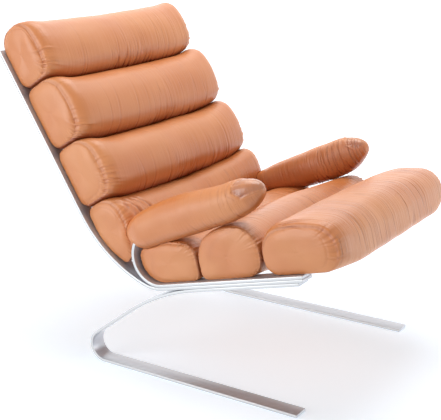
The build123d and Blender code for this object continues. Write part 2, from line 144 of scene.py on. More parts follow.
# The cloth simulation: its frames, its points round a roll and their spacing along it, the share
# of a roll's girth on either side of the strips' middle that is held, and smoothing passes.
SWELL_FRAMES = 20
CLOTH = {
    "quality": 4, "mass": 0.3, "tension_stiffness": 25, "compression_stiffness": 25,
    "shear_stiffness": 8, "bending_stiffness": 0.6, "use_pressure": True,
    "uniform_pressure_force": 4.0, "shrink_min": -0.012,
}
COARSE = 64
COARSE_STEP = 0.014
STRIP_SHARE = 0.2
CALM_PASSES = 5
BEND_STEP = math.radians(3.0)  # turn between two sections of a strip's bend
LINE_SPOTS = 1200  # places along a strip that its grinding lines are measured from
ARC, BOW = 17, 21  # points on a ring's corner and on its bowed side
SEAM_LINE = 0.0019  # half the width of a roll's seam
FOLD_SPREAD = 0.012  # how far folds start from their line
FOLD_START = 0.12  # share of its reach by which a fold starts before its line


# ---------------------------------------------------------------- what a user can set
def length(name, description, default):
    """Length property in metres."""
    return bpy.props.FloatProperty(
        name=name, description=description, default=default, unit="LENGTH", precision=4
    )


def angle(name, description, degrees):
    """Angle property, given in degrees."""
    return bpy.props.FloatProperty(
        name=name, description=description, default=math.radians(degrees), subtype="ANGLE"
    )


def colour(name, description, default):
    """Colour property."""
    return bpy.props.FloatVectorProperty(
        name=name, description=description, default=default, subtype="COLOR", size=3, min=0, max=1
    )


def amount(name, description, default):
    """Plain number property."""
    return bpy.props.FloatProperty(name=name, description=description, default=default)


class StripSizes(bpy.types.PropertyGroup):
    """Sizes of the three strips a side."""

    frame_width: length("Frame width", "Outer edge of one strip to outer edge of the other", 0.65)
    width: length("Strip width", "Width of every strip", 0.046)
    thickness: length("Strip thickness", "Thickness of every strip", 0.008)
    edge: length("Edge rounding", "Rounding of the strips' edges", 0.0015)
    seat_rise: angle("Seat rise", "Slope of the seat, up towards its front", 14.4)
    runner: length("Runner", "Straight part on the floor", 0.577)
    rear_bend: length("Rear bend", "Radius of the bend at the floor", 0.041)
    leg_run: length("Leg run", "Straight slope above the rear bend", 0.141)
    leg_bend: length("Leg bend", "Radius of the bend under the seat", 0.571)
    leg_turn: angle("Leg turn", "Turn of the bend under the seat", 22.7)
    base_seat_run: length("Base seat run", "Base strip's straight part under the seat", 0.294)
    seat_front: length("Seat front", "Seat strips' front ends, before the leg bend's end", 0.306)
    seat_rear: length("Seat rear", "Seat strips' straight part behind the leg bend's end", 0.098)
    low_back: length("Low back bend", "Radius where the seat turns up", 0.104)
    low_back_turn: angle("Low back turn", "Turn of that bend", 32.0)
    high_back: length("High back bend", "Radius behind the lumbar roll", 0.364)
    back_lean: angle("Back lean", "Straight upper back, from upright", 32.6)
    back_run: length("Back run", "Straight upper back", 0.473)
    arm_bend: length("Arm bend", "Radius of the bend into the arm", 0.07)
    arm_rise: angle("Arm rise", "Arm above level, towards the front", 25.0)
    arm_run: length("Arm run", "Straight part inside the sleeve", 0.318)


class LeatherSizes(bpy.types.PropertyGroup):
    """Sizes that all leather pieces share."""

    seam: length("Seam", "Middle of a roll to its end seam", 0.31)
    bulge: length("End bulge", "End panel beyond its seam", 0.007)
    shoulder: length("Shoulder", "A roll draws in to its seam over this length", 0.034)
    gap: length("Gap", "Between two rolls that press on each other", 0.0008)
    contact: length("Contact", "Leather to steel", 0.0004)
    around: bpy.props.IntProperty(name="Around", description="Points round a roll", default=240)
    step: length("Step", "Points along a roll are this far apart", 0.0022)
    swell: length("Swell", "Most that the filling pushes the leather out", 0.005)


class ArmSizes(bpy.types.PropertyGroup):
    """Sizes of the arm sleeves."""

    inset: length("Inset", "Sleeve's middle line inside the frame's outer edge", 0.029)


class Finishes(bpy.types.PropertyGroup):
    """Colours of the leather, steel and small parts."""

    leather: colour("Leather", "Cognac leather where it is lit", (0.57, 0.178, 0.040))
    # Painted shade: the dark colour that fold valleys, creases, wrinkle lines and undersides are
    # blended towards.
    leather_painted_shade: colour("Leather, deep", "Leather in its folds", (0.22, 0.03, 0.003))
    leather_pale: colour("Leather, pale", "Leather where it is stretched", (0.63, 0.24, 0.08))
    steel: colour("Steel", "Satin ground faces of the strips", (0.54, 0.555, 0.60))
    steel_sides: colour("Steel sides", "Polished sides of the strips", (0.41, 0.41, 0.412))
    zinc: colour("Zinc", "Zinc plated bolts and slats", (0.45, 0.46, 0.47))
    glide: colour("Glide", "Glides under the runners", (0.03, 0.03, 0.032))
    leather_roughness: amount("Leather roughness", "Gloss of the leather", 0.43)
    steel_roughness: amount("Steel roughness", "Gloss of the steel", 0.33)


class Studio(bpy.types.PropertyGroup):
    """Camera, floor and lights."""

    place: bpy.props.FloatVectorProperty(
        name="Camera place", description="Where the camera stands",
        default=(-2.1987, -1.3983, 1.1334), subtype="TRANSLATION",
    )
    azimuth: angle("Azimuth", "Camera's turn from looking along +Y", -57.18)
    elevation: angle("Elevation", "Camera's look down", 16.39)
    lens: bpy.props.FloatProperty(
        name="Lens", description="Focal length on a 36 mm sensor, in millimetres", default=81.87
    )
    floor: colour("Floor", "Plain pale floor", (0.71, 0.79, 0.88))
    floor_glow: amount("Floor glow", "How much brighter the camera sees the floor", 0.54)
    bounce: amount("Floor bounce", "Light that the floor gives back to the chair", 0.23)
    key: amount("Key light", "Power of the overhead soft box, in watts", 42.0)
    fill: amount("Side light", "Power of the soft box beside the chair, in watts", 46.0)
    front: amount("Front light", "Power of the low soft box before the chair, in watts", 12.0)
    sky: amount("Sky", "Strength of the even light from all round", 0.23)
    floor_sheen: amount("Floor sheen", "Strength of the floor that glossy surfaces mirror", 1.4)
    sheen: amount("Sheen", "Strength of the white room that glossy surfaces mirror", 2.0)


# ---------------------------------------------------------------- side-view geometry
def direction(heading):
    """Unit vector (y, z) of a heading in radians, where 0 points to the rear."""
    return np.array([math.cos(heading), math.sin(heading)])


class Track:
    """Side-view line of straight runs (length,) and left-hand bends (radius, turn)."""

    def __init__(self, start, heading, steps):
        self.pieces = []
        point = np.array(start, float)
        for step in steps:
            self.pieces.append((point, heading, step))
            if len(step) == 1:
                point = point + direction(heading) * step[0]
            else:
                centre = point + direction(heading + math.pi / 2) * step[0]
                heading = heading + step[1]
                point = centre + direction(heading - math.pi / 2) * step[0]

    def length(self):
        """Length of the whole line."""
        return sum(math.prod(step) for _, _, step in self.pieces)

    def at(self, distance, offset=0.0):
        """Point and heading at a distance from the start, moved to the left by offset."""
        for number, (point, heading, step) in enumerate(self.pieces):
            last = number == len(self.pieces) - 1
            span = math.prod(step)
            if distance > span and not last:
                distance -= span
                continue
            if len(step) == 1:
                side = direction(heading + math.pi / 2) * offset
                return point + direction(heading) * distance + side, heading
            turned = heading + distance / step[0]
            centre = point + direction(heading + math.pi / 2) * step[0]
            return centre + direction(turned - math.pi / 2) * (step[0] - offset), turned


class Tracks:
    """The middle lines of the base, back and arm strips."""

    def __init__(self, sizes):
        low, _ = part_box("base_runner_left")
        thick = sizes.thickness
        rise = sizes.seat_rise
        start = (low.y, low.z + thick / 2)
        runner = [(sizes.runner,), (sizes.rear_bend, math.pi - rise - sizes.leg_turn)]
        spring = [(sizes.leg_run,), (sizes.leg_bend, sizes.leg_turn), (sizes.base_seat_run,)]
        self.base = Track(start, 0.0, runner + spring)
        self.mark = self.base.pieces[4][0]
        self.forward, self.upward = math.pi - rise, math.pi / 2 - rise
        seat = sizes.seat_front + sizes.seat_rear
        high_turn = math.pi / 2 - sizes.back_lean + rise - sizes.low_back_turn
        back = [(seat,), (sizes.low_back, sizes.low_back_turn), (sizes.high_back, high_turn)]
        self.thick = thick
        self.back = Track(self.seat_point(sizes.seat_front, 1), -rise, back + [(sizes.back_run,)])
        turn = math.pi - sizes.arm_rise + rise
        arm = [(seat,), (sizes.arm_bend, turn), (sizes.arm_run,)]
        self.arm = Track(self.seat_point(sizes.seat_front, 2), -rise, arm)

    def seat_point(self, forward, layers):
        """Point on the seat, forward of the leg bend's end and some strips above it."""
        ahead = direction(self.forward) * forward
        return self.mark + ahead + direction(self.upward) * layers * self.thick

    def back_place(self, below_top, lift):
        """Point off the back strip's front face below its top end, and the way out of it."""
        whole = self.back.length()
        point, heading = self.back.at(whole - below_top, self.thick / 2 + lift)
        return point, heading + math.pi / 2

    def seat_place(self, forward, lift):
        """Point off the seat's top face, and the way out of it."""
        return self.seat_point(forward, 2.5) + direction(self.upward) * lift, self.upward


# ---------------------------------------------------------------- materials
def new_material(name):
    """Material with a Principled shader, and its node tree."""
    material = bpy.data.materials.new(name)
    material.use_nodes = True
    tree = material.node_tree
    return material, tree, tree.nodes["Principled BSDF"]


def feed(tree, node, inputs):
    """Gives a node's inputs their values, or links the sockets that they come from."""
    for key, value in inputs.items():
        if isinstance(value, bpy.types.NodeSocket):
            tree.links.new(value, node.inputs[key])
        else:
            node.inputs[key].default_value = value


def add_node(tree, kind, inputs=None, **settings):
    """Node with some of its settings, and its inputs as values or sockets."""
    node = tree.nodes.new(kind)
    for key, value in settings.items():
        setattr(node, key, value)
    feed(tree, node, inputs or {})
    return node


def stored(tree, name, output="Fac"):
    """What the mesh stores for each point under a name."""
    return add_node(tree, "ShaderNodeAttribute", attribute_name=name).outputs[output]


def calculate(tree, operation, *values):
    """Result of a sum on values or sockets."""
    inputs = dict(enumerate(values))
    return add_node(tree, "ShaderNodeMath", inputs, operation=operation).outputs[0]


def object_noise(tree, scale, detail):
    """Even noise that keeps its place on the object."""
    place = add_node(tree, "ShaderNodeTexCoord").outputs["Object"]
    return stretched_noise(tree, place, (scale, scale, scale), detail)


def stretched_noise(tree, source, scale, detail, roughness=0.5):
    """Noise whose scale differs along X, Y and Z."""
    mapping = add_node(tree, "ShaderNodeMapping", {"Vector": source, "Scale": scale})
    vector = mapping.outputs["Vector"]
    inputs = {"Vector": vector, "Scale": 1.0, "Detail": detail, "Roughness": roughness}
    return add_node(tree, "ShaderNodeTexNoise", inputs).outputs["Fac"]


def shaded(tint, share):
    """Colour made darker or lighter."""
    return tuple(share * part for part in tint)


def blend_colours(tree, factor, first, second):
    """Mix of two colours, each a value or a socket."""
    mix = add_node(tree, "ShaderNodeMix", data_type="RGBA")
    for socket, value in (("A", first), ("B", second)):
        target = [i for i in mix.inputs if i.name == socket and i.type == "RGBA"][0]
        if isinstance(value, bpy.types.NodeSocket):
            tree.links.new(value, target)
        else:
            target.default_value = (*value, 1.0)
    tree.links.new(factor, mix.inputs["Factor"])
    return [o for o in mix.outputs if o.type == "RGBA"][0]


def ramp(tree, source, low, high, out_low=0.0, out_high=1.0):
    """Value mapped from low..high to out_low..out_high, with smooth ends."""
    inputs = {
        "Value": source, "From Min": low, "From Max": high, "To Min": out_low, "To Max": out_high,
    }
    node = add_node(tree, "ShaderNodeMapRange", inputs, interpolation_type="SMOOTHSTEP")
    return node.outputs["Result"]


def pick(tree, ray, others, seen):
    """One value for a kind of ray and another for all others."""
    inputs = {"Value": ray, "To Min": others, "To Max": seen}
    return add_node(tree, "ShaderNodeMapRange", inputs).outputs["Result"]


def bump(tree, height, distance, strength, normal=None):
    """Bump from a height socket, on top of another bump if one is given."""
    inputs = {"Height": height, "Distance": distance, "Strength": strength}
    if normal is not None:
        inputs["Normal"] = normal
    return add_node(tree, "ShaderNodeBump", inputs).outputs["Normal"]


def crease_lines(tree, source, scale, width):
    """Thin wandering lines where a noise passes its middle, 1 on the line and 0 beside it."""
    off = calculate(tree, "SUBTRACT", stretched_noise(tree, source, scale, 1.5), 0.5)
    return ramp(tree, calculate(tree, "ABSOLUTE", off), 0.0, width, 1.0, 0.0)


def product(tree, first, *others):
    """Product of some sockets."""
    for socket in others:
        first = calculate(tree, "MULTIPLY", first, socket)
    return first


def leather_material(name, finishes):
    """Soft cognac leather: fine grain, thin wrinkles across the piece, and painted shade that makes
    it deeper in its wrinkles and folds.
    """
    material, tree, shader = new_material(name)
    run = stored(tree, "run", "Vector")
    folds, wrinkle_amount, shine = (stored(tree, key) for key in ("fold", "wrinkle", "shine"))
    broad = stretched_noise(tree, run, (6.0, 8.0, 8.0), 2.0)
    patches = ramp(tree, stretched_noise(tree, run, (13.0, 9.0, 9.0), 0.0), 0.35, 0.62)
    lines = product(tree, crease_lines(tree, run, (48.0, 2.4, 2.4), 0.03), patches, wrinkle_amount)
    fine = product(tree, crease_lines(tree, run, (120.0, 4.5, 4.5), 0.04), wrinkle_amount)
    pleats = product(tree, stretched_noise(tree, run, (140.0, 4.0, 4.0), 1.0), wrinkle_amount)
    pores = add_node(tree, "ShaderNodeTexVoronoi", {"Vector": run, "Scale": 520.0})
    lit = ramp(tree, broad, 0.3, 0.75)
    tint = blend_colours(tree, lit, finishes.leather, finishes.leather_pale)
    # Painted shade: the thin wrinkle lines are darkened towards the shade colour.
    line_painted_shade = ramp(tree, lines, 0.0, 1.0, 0.0, 0.28)
    fine_painted_shade = ramp(tree, fine, 0.0, 1.0, 0.0, 0.04)
    # Painted shade from the wrinkle lines and from the stored fold mark (shade in folds, creases,
    # gathers and undersides), with a darker seam line.
    for tone in (line_painted_shade, fine_painted_shade, folds):
        tint = blend_colours(tree, tone, tint, finishes.leather_painted_shade)
    rough = finishes.leather_roughness
    matt = ramp(tree, broad, 0.3, 0.7, rough - 0.04, rough + 0.06)
    relief = None
    for height, distance, strength in (
        (pores.outputs["Distance"], 0.0002, 0.3), (pleats, 0.0035, 0.9),
        (fine, -0.0004, 0.5), (lines, -0.0014, 1.0),
    ):
        relief = bump(tree, height, distance, strength, relief)
    feed(tree, shader, {
        "Base Color": tint, "Normal": relief, "Specular IOR Level": 0.6,
        "Roughness": calculate(tree, "MULTIPLY_ADD", shine, -0.22, matt),
        "Coat Weight": 0.2, "Coat Roughness": 0.34,
    })
    return material


def steel_material(name, finishes, width):
    """Satin steel, ground along the strip's length, with polished sides."""
    material, tree, shader = new_material(name)
    run = stored(tree, "run", "Vector")
    parts = add_node(tree, "ShaderNodeSeparateXYZ", {0: run})
    off = calculate(tree, "ABSOLUTE", parts.outputs["X"])
    sides = ramp(tree, off, width / 2 - 0.0012, width / 2 - 0.0004)
    lines = stretched_noise(tree, run, (1800.0, 6.0, 1.0), 3.0, 0.6)
    clouds = ramp(tree, stretched_noise(tree, run, (30.0, 5.0, 1.0), 2.0), 0.3, 0.75)
    tint = tuple(finishes.steel)
    ground = blend_colours(tree, clouds, tint, shaded(tint, 0.82))
    rough = finishes.steel_roughness
    feed(tree, shader, {
        "Base Color": blend_colours(tree, sides, ground, tuple(finishes.steel_sides)),
        "Roughness": ramp(tree, lines, 0.3, 0.7, rough - 0.05, rough + 0.07),
        "Normal": bump(tree, lines, 0.00004, 0.25),
        "Metallic": ramp(tree, sides, 0.0, 1.0, 0.3, 0.8),
    })
    return material


def plain_metal(name, tint, roughness):
    """Plated steel with faint cloudiness."""
    material, tree, shader = new_material(name)
    clouds = object_noise(tree, 160.0, 3.0)
    feed(tree, shader, {
        "Base Color": blend_colours(tree, clouds, tint, shaded(tint, 0.7)),
        "Roughness": ramp(tree, clouds, 0.3, 0.7, roughness - 0.05, roughness + 0.1),
        "Metallic": 1.0,
    })
    return material


def plastic_material(name, tint):
    """Matt moulded plastic with a fine texture."""
    material, tree, shader = new_material(name)
    grain = object_noise(tree, 900.0, 2.0)
    feed(tree, shader, {
        "Base Color": blend_colours(tree, grain, tint, shaded(tint, 1.6)),
        "Normal": bump(tree, grain, 0.0001, 0.4), "Roughness": 0.62,
    })
    return material


# ---------------------------------------------------------------- strips
def deselect():
    """Nothing selected."""
    bpy.ops.object.select_all(action="DESELECT")


def select_only(piece):
    """One piece selected and active."""
    deselect()
    piece.select_set(True)
    bpy.context.view_layer.objects.active = piece


def store_run(piece, places):
    """Stores the place of each point that its material's pattern follows."""
    attribute = piece.data.attributes.new("run", "FLOAT_VECTOR", "POINT")
    attribute.data.foreach_set("vector", places.astype(np.float32).ravel())


def strip_piece(name, side, track, sizes, material):
    """Flat strip swept along a track: its section is extruded along runs and spun round bends."""
    point, heading, _ = track.pieces[0]
    x = side * (sizes.frame_width - sizes.width) / 2
    deselect()
    bpy.ops.mesh.primitive_plane_add(
        size=1, location=(x, *point), rotation=(math.pi / 2 + heading, 0, 0)
    )
    piece = bpy.context.object
    piece.name = name
    piece.scale = (sizes.width, sizes.thickness, 1)
    select_only(piece)
    bpy.ops.object.transform_apply(location=True, rotation=True, scale=True)
    bpy.ops.object.mode_set(mode="EDIT")
    bpy.ops.mesh.select_all(action="SELECT")
    bpy.ops.mesh.delete(type="ONLY_FACE")
    bpy.ops.mesh.select_all(action="SELECT")
    for point, heading, step in track.pieces:
        if len(step) == 1:
            way = direction(heading) * step[0]
            bpy.ops.mesh.extrude_region_move(
                TRANSFORM_OT_translate={"value": (0, way[0], way[1])}
            )
        else:
            centre = point + direction(heading + math.pi / 2) * step[0]
            bpy.ops.mesh.spin(
                steps=max(4, round(step[1] / BEND_STEP)), angle=step[1],
                center=(x, *centre), axis=(-1, 0, 0),
            )
    bpy.ops.mesh.select_all(action="SELECT")
    bpy.ops.mesh.remove_doubles(threshold=1e-6)
    bpy.ops.mesh.select_all(action="SELECT")
    bpy.ops.mesh.fill_holes(sides=0)
    bpy.ops.mesh.select_all(action="SELECT")
    bpy.ops.mesh.normals_make_consistent(inside=False)
    bpy.ops.object.mode_set(mode="OBJECT")
    rounding = piece.modifiers.new("edges", "BEVEL")
    rounding.width, rounding.segments = sizes.edge, 3
    rounding.limit_method, rounding.angle_limit = "ANGLE", math.radians(40)
    bpy.ops.object.modifier_apply(modifier=rounding.name)
    bpy.ops.object.shade_smooth_by_angle(angle=math.radians(30))
    mark_run(piece, track, x)
    piece.data.materials.clear()
    piece.data.materials.append(material)
    return piece


def mark_run(piece, track, x):
    """Stores each point's place across and along the strip, for the grinding lines."""
    spots = np.linspace(0.0, track.length(), LINE_SPOTS)
    line = np.array([track.at(spot)[0] for spot in spots])
    places = points_of(piece)
    nearest = [int(np.argmin(((line - place[1:]) ** 2).sum(1))) for place in places]
    run = np.zeros((len(places), 3))
    run[:, 0] = places[:, 0] - x
    run[:, 1] = spots[nearest]
    store_run(piece, run)


# ---------------------------------------------------------------- soft shapes
def rounded_ring(points, radii, count, sag=0.0):
    """Closed ring of points round a convex polygon with rounded corners.

    It starts in the middle of the first side, which sag bows outwards.
    """
    sides = len(points)
    corners, reaches = [], []
    for i in range(sides):
        before, corner, after = points[i - 1], points[i], points[(i + 1) % sides]
        back, ahead = before - corner, after - corner
        back, ahead = back / np.linalg.norm(back), ahead / np.linalg.norm(ahead)
        half = math.acos(np.clip(back @ ahead, -1, 1)) / 2
        corners.append((corner, back, ahead, half))
        reaches.append(radii[i] / math.tan(half))
    room = []
    for i in range(sides):
        side = np.linalg.norm(points[(i + 1) % sides] - points[i])
        room.append(0.96 * side / (reaches[i] + reaches[(i + 1) % sides]))
    line = []
    for i, (corner, back, ahead, half) in enumerate(corners):
        share = min(1.0, room[i - 1], room[i])
        radius = radii[i] * share
        middle = (back + ahead) / np.linalg.norm(back + ahead)
        centre = corner + middle * radius / math.sin(half)
        first, last = corner + back * reaches[i] * share, corner + ahead * reaches[i] * share
        for turn in np.linspace(0, 1, ARC):
            spot = first * (1 - turn) + last * turn - centre
            line.append(centre + spot / np.linalg.norm(spot) * radius)
    line = np.array(line)
    first, last = line[ARC - 1], line[ARC]
    start = (first + last) / 2
    chord = last - first
    out = np.array([chord[1], -chord[0]]) / np.linalg.norm(chord)
    inside = np.mean(points, axis=0)
    if (start - inside) @ out < 0:
        out = -out
    bowed = [
        first + chord * t + out * sag * (1 - (2 * t - 1) ** 2) for t in np.linspace(0, 1, BOW)
    ]
    half = BOW // 2
    line = np.concatenate([bowed[half:], line[ARC + 1:], line[:ARC - 1], bowed[:half + 1]])
    steps = np.linalg.norm(np.diff(line, axis=0), axis=1)
    along = np.concatenate([[0.0], np.cumsum(steps)])
    spots = np.linspace(0, along[-1], count, endpoint=False)
    return np.stack([np.interp(spots, along, line[:, k]) for k in range(2)], axis=1)


def soften(values, passes=1, axis=0):
    """Closed row of points, each pulled towards its neighbours."""
    for _ in range(passes):
        values = values / 2 + (np.roll(values, 1, axis) + np.roll(values, -1, axis)) / 4
    return values


def smooth(value):
    """Smooth step from 0 to 1."""
    value = np.clip(value, 0, 1)
    return value * value * (3 - 2 * value)


def bell(value, width=1.0):
    """1 at a value of 0, fading away on both sides."""
    return np.exp(-((value / width) ** 2))


class RollForm:
    """Rings of one roll along X, from seam to seam."""

    def __init__(self, name, tracks, sizes):
        self.row = ROLLS[name]
        place = tracks.back_place if name in BACK_ROLLS else tracks.seat_place
        low, high = (edge * MM for edge in self.row["edges"])
        self.low, self.high = place(low, sizes.contact), place(high, sizes.contact)
        face = place((low + high) / 2, sizes.contact)[0]
        self.sag = np.linalg.norm(face - (self.low[0] + self.high[0]) / 2)
        self.sizes = sizes

    def ring(self, x, count):
        """The roll's outline at x, with count points."""
        row, sizes = self.row, self.sizes
        t = max(0.0, 1 - (sizes.seam - abs(x)) / sizes.shoulder)
        share = 1 - math.sqrt(max(0.0, 1 - t * t))
        front_draw, low_draw, high_draw = (draw * MM * share for draw in row["draws"])
        if x > 0:
            front_draw *= FAR_DRAW
        (low_point, low_out), (high_point, high_out) = self.low, self.high
        run = high_point - low_point
        run = run / np.linalg.norm(run)
        middle = 1 - abs(x / sizes.seam) ** SAG_SHAPE
        low_sag, high_sag = (sag * MM * middle for sag in row["sags"])
        far = smooth(x / sizes.seam)
        back_low = low_point + run * (sizes.gap / 2 + low_draw - low_sag)
        back_high = high_point - run * (sizes.gap / 2 + high_draw + high_sag)
        low_depth, high_depth = (
            (depth + far * more) * MM - front_draw
            for depth, more in zip(row["depths"], row["far"])
        )
        front_low = back_low + direction(low_out) * low_depth
        front_high = back_high + direction(high_out) * high_depth
        crown, seam_crown = (value * MM for value in row["crowns"])
        rise = crown + (seam_crown - crown) * share
        top = (front_low + front_high) / 2 + direction((low_out + high_out) / 2) * rise
        points = [back_low, back_high, front_high, top, front_low]
        low_back, high_back, high_front, low_front = (radius * MM for radius in row["corners"])
        plump = BACK_CORNERS + (1 - BACK_CORNERS) * smooth((abs(x) / sizes.seam - 0.7) / 0.3)
        radii = [low_back * plump, high_back * plump, high_front, CROWN_RADIUS, low_front]
        ring = rounded_ring(points, radii, count, self.sag)
        return soften(ring, max(1, count // 24))


def roll_stations(sizes, step):
    """Places along a roll, closer together on its shoulders."""
    straight = sizes.seam - sizes.shoulder
    shoulder = np.sin(np.linspace(0, math.pi / 2, max(5, round(sizes.shoulder / step * 1.4))))
    half = straight + sizes.shoulder * shoulder[1:]
    middle = np.linspace(-straight, straight, round(2 * straight / step))
    return np.concatenate([-half[::-1], middle, half])


def panel_rings(ring, x, side, bulge):
    """Rings of an end panel, from its seam towards its middle, and the middle point."""
    centre = ring.mean(axis=0)
    made = []
    for share in PANEL_RINGS:
        spots = ring + (centre - ring) * share
        rise = bulge * (1 - (1 - min(1.0, share * 2.2)) ** 2)
        made.append(np.column_stack([np.full(len(ring), x + side * rise), spots]))
    return made, np.array([x + side * bulge, *centre])


def closed_tube(rings, first_point, last_point):
    """Points and faces of a tube of equal rings, closed by a point at each end."""
    rings = np.array(rings)
    number, count, _ = rings.shape
    points = np.concatenate([rings.reshape(-1, 3), [first_point, last_point]])
    index = np.arange(number * count).reshape(number, count)
    after = np.roll(index, -1, axis=1)
    quads = np.stack([index[:-1], after[:-1], after[1:], index[1:]], axis=-1).reshape(-1, 4)
    faces = [tuple(quad) for quad in quads.tolist()]
    first, last = number * count, number * count + 1
    faces += [(first, b, a) for a, b in zip(index[0].tolist(), after[0].tolist())]
    faces += [(last, a, b) for a, b in zip(index[-1].tolist(), after[-1].tolist())]
    return points, faces


def roll_tube(form, x, count):
    """A roll's rings at its stations, and the points and faces of the whole closed roll."""
    tube = np.array([np.column_stack([np.full(count, spot), form.ring(spot, count)]) for spot in x])
    bulge = form.sizes.bulge
    first, first_point = panel_rings(tube[0][:, 1:], x[0], -1, bulge)
    last, last_point = panel_rings(tube[-1][:, 1:], x[-1], 1, bulge)
    return tube, *closed_tube([*first[::-1], *tube, *last], first_point, last_point)


def shell(name, points, faces):
    """Smooth closed mesh object with its faces pointing outwards."""
    mesh = bpy.data.meshes.new(name)
    mesh.from_pydata(points.tolist(), [], faces)
    piece = bpy.data.objects.new(name, mesh)
    bpy.context.scene.collection.objects.link(piece)
    select_only(piece)
    bpy.ops.object.mode_set(mode="EDIT")
    bpy.ops.mesh.select_all(action="SELECT")
    bpy.ops.mesh.normals_make_consistent(inside=False)
    bpy.ops.object.mode_set(mode="OBJECT")
    bpy.ops.object.shade_smooth()
    return piece


def normals_of(piece):
    """Vertex normals as an array."""
    normals = np.zeros(len(piece.data.vertices) * 3)
    piece.data.vertex_normals.foreach_get("vector", normals)
    return normals.reshape(-1, 3)


def points_of(piece):
    """Vertex places as an array."""
    places = np.zeros(len(piece.data.vertices) * 3)
    piece.data.vertices.foreach_get("co", places)
    return places.reshape(-1, 3)


# ---------------------------------------------------------------- filling and folds
def swell(points, faces, held, cap):
    """How far filling under pressure moves each point of a leather shell, at most cap."""
    piece = shell("swelling", points, faces)
    group = piece.vertex_groups.new(name="held")
    for number, weight in enumerate(held.tolist()):
        group.add([number], weight, "REPLACE")
    cloth = piece.modifiers.new("cloth", "CLOTH")
    for key, value in CLOTH.items():
        setattr(cloth.settings, key, value)
    cloth.settings.vertex_group_mass = group.name
    cloth.settings.effector_weights.gravity = 0.0
    cloth.point_cache.frame_start, cloth.point_cache.frame_end = 1, SWELL_FRAMES
    scene = bpy.context.scene
    for number in range(1, SWELL_FRAMES + 1):
        scene.frame_set(number)
    seen = piece.evaluated_get(bpy.context.evaluated_depsgraph_get())
    moved = points_of(seen) - points
    scene.frame_set(1)
    bpy.data.objects.remove(piece)
    far = np.linalg.norm(moved, axis=1, keepdims=True)
    return moved * cap * np.tanh(far / cap) / np.maximum(far, 1e-9)


def fans(draw, rows):
    """Folds that start near a line and fade as they run round the piece, one fan for each row.

    A row has the number of folds, the range of their places along the piece, the line, the ranges
    of their reach, width and depth, and how far they may lean or curve either way.
    """
    folds = []
    for number, places, line, reach, width, deep, lean in rows:
        spread, turn = (-FOLD_SPREAD, FOLD_SPREAD), (-lean, lean)
        for _ in range(number):
            spans = (places, spread, reach, turn, turn, width, deep)
            fold = [draw.uniform(*span) for span in spans]
            fold[1] += line
            folds.append(fold)
    return folds


def fold_height(x, s, around, folds, wide):
    """Height of drawn folds on a grid: x along the piece, s round it, both in metres."""
    height = np.zeros((len(x), len(s)))
    for start_x, start_s, reach, lean, curve, width, deep in folds:
        back = (s - start_s + around / 2) % around - around / 2
        t = back / reach
        rows = np.nonzero((t > -FOLD_START) & (t < 1))[0]
        columns = np.nonzero(np.abs(x - start_x) < wide)[0]
        if len(rows) == 0 or len(columns) == 0:
            continue
        t = t[rows][None, :]
        path = start_x + lean * t * abs(reach) + curve * t * t * abs(reach)
        off = (x[columns][:, None] - path) / width
        fade = smooth((t + FOLD_START) / 0.2) * (1 - smooth(t)) ** 0.8
        valley = bell(off) - 0.55 * bell(np.abs(off) - 1.7)
        height[np.ix_(columns, rows)] -= deep * fade * valley
    return height


def waves(x, s, around, seed, number, size, tall):
    """Broad soft unevenness on the grid."""
    draw = np.random.default_rng(seed)
    height = np.zeros((len(x), len(s)))
    for _ in range(number):
        turns = draw.integers(0, 4)
        pace = draw.uniform(*size)
        phase, other = draw.uniform(0, 2 * math.pi, 2)
        across = np.sin(2 * math.pi * x / pace + phase)
        height += np.outer(across, np.cos(2 * math.pi * turns * s / around + other))
    return height * tall / math.sqrt(number)


def finish_leather(piece, places, marks, run, material):
    """Moves a leather piece's points to their places and stores what its material reads."""
    piece.data.vertices.foreach_set("co", places.ravel())
    for name, values in marks.items():
        values = np.clip(np.concatenate([values.ravel(), [0, 0]]), 0, 1)
        attribute = piece.data.attributes.new(name, "FLOAT", "POINT")
        attribute.data.foreach_set("value", values.astype(np.float32))
    store_run(piece, run)
    piece.data.update()
    piece.data.materials.append(material)


def filled(form, sizes):
    """How far the filling pushes a roll's leather out, with the stations of its coarse grid."""
    x = roll_stations(sizes, COARSE_STEP)
    _, points, faces = roll_tube(form, x, COARSE)
    turns = np.abs((np.arange(COARSE) / COARSE + 0.5) % 1 - 0.5)
    held = np.tile(smooth((STRIP_SHARE - turns) / 0.05), (len(x) + 2 * PANEL, 1))
    held[[PANEL, -PANEL - 1]] = 1.0
    moved = swell(points, faces, np.concatenate([held.ravel(), [0, 0]]), sizes.swell)
    moved = moved[:-2].reshape(-1, COARSE, 3)[PANEL:-PANEL]
    for _ in range(CALM_PASSES):
        moved = soften(moved, axis=1)
        moved[1:-1] = moved[1:-1] / 2 + (moved[2:] + moved[:-2]) / 4
    return moved, x


def resample(values, old_x, new_x, new_count):
    """Vectors on a coarse grid of stations and ring points, read on a finer one."""
    old_count = values.shape[1]
    rings = np.empty((len(new_x), old_count, 3))
    for point in range(old_count):
        for axis in range(3):
            rings[:, point, axis] = np.interp(new_x, old_x, values[:, point, axis])
    spots = np.arange(new_count) * old_count / new_count
    low = np.floor(spots).astype(int)
    share = (spots - low)[None, :, None]
    return rings[:, low] * (1 - share) + rings[:, (low + 1) % old_count] * share


